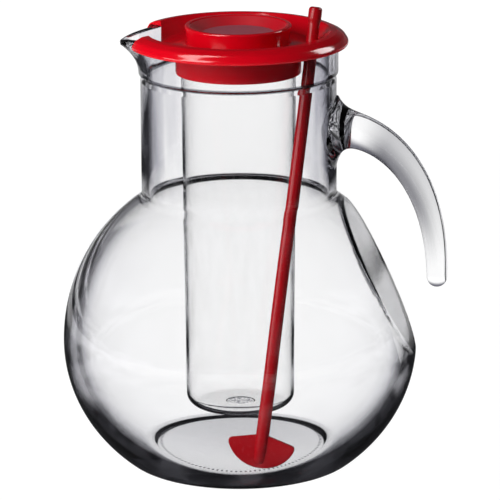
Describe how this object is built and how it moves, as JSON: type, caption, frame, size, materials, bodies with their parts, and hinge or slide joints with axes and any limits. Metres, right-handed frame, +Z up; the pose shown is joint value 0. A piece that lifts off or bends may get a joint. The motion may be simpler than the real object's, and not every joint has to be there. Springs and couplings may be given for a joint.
{
  "type": "lidded jug with ice tube",
  "caption": "Round glass jug with a red lid that carries a screw-in clear ice tube, an open glass handle and a long leaning stirrer.",
  "frame": {"origin": "middle of the jug's flat base, on the surface it stands on", "axes": "+Z up along the jug's axis, +X towards the handle, -X towards the spout"},
  "size_m": [0.1953, 0.18, 0.2366],
  "materials": {
    "clear_glass": "clear blown glass, fire polished rim",
    "handle_glass": "clear drawn glass, fused to the neck while hot",
    "red_plastic": "glossy red moulded plastic",
    "pale_rubber": "soft pale rubber",
    "clear_plastic": "clear glossy moulded plastic",
    "stirrer_red_plastic": "glossy red moulded plastic"
  },
  "bodies": {
    "jug": {"glass_body": "clear_glass", "glass_handle": "handle_glass"},
    "lid": {"lid": "red_plastic"},
    "seal": {"tube_seal": "pale_rubber"},
    "ice_tube": {"ice_tube": "clear_plastic"},
    "stirrer": {"stirrer": "stirrer_red_plastic"}
  },
  "joints": [
    {"name": "lid_lift", "type": "slide", "parent": "jug", "child": "lid", "axis": [0, 0, 1], "range_m": [0, 0.2]},
    {"name": "tube_drop", "type": "slide", "parent": "lid", "child": "seal", "axis": [0, 0, -1], "range_m": [0, 0.0076]},
    {"name": "tube_turn", "type": "hinge", "parent": "seal", "child": "ice_tube", "pos_m": [0, 0, 0.2], "axis": [0, 0, -1], "range_deg": [0, 450]},
    {"name": "stirrer_lift", "type": "slide", "parent": "jug", "child": "stirrer", "axis": [0.121, 0.1704, 0.9779], "range_m": [0, 0.05]}
  ],
  "couplings": [
    {"joint": "tube_drop", "follows": "tube_turn", "m_per_rad": 0.00095}
  ]
}
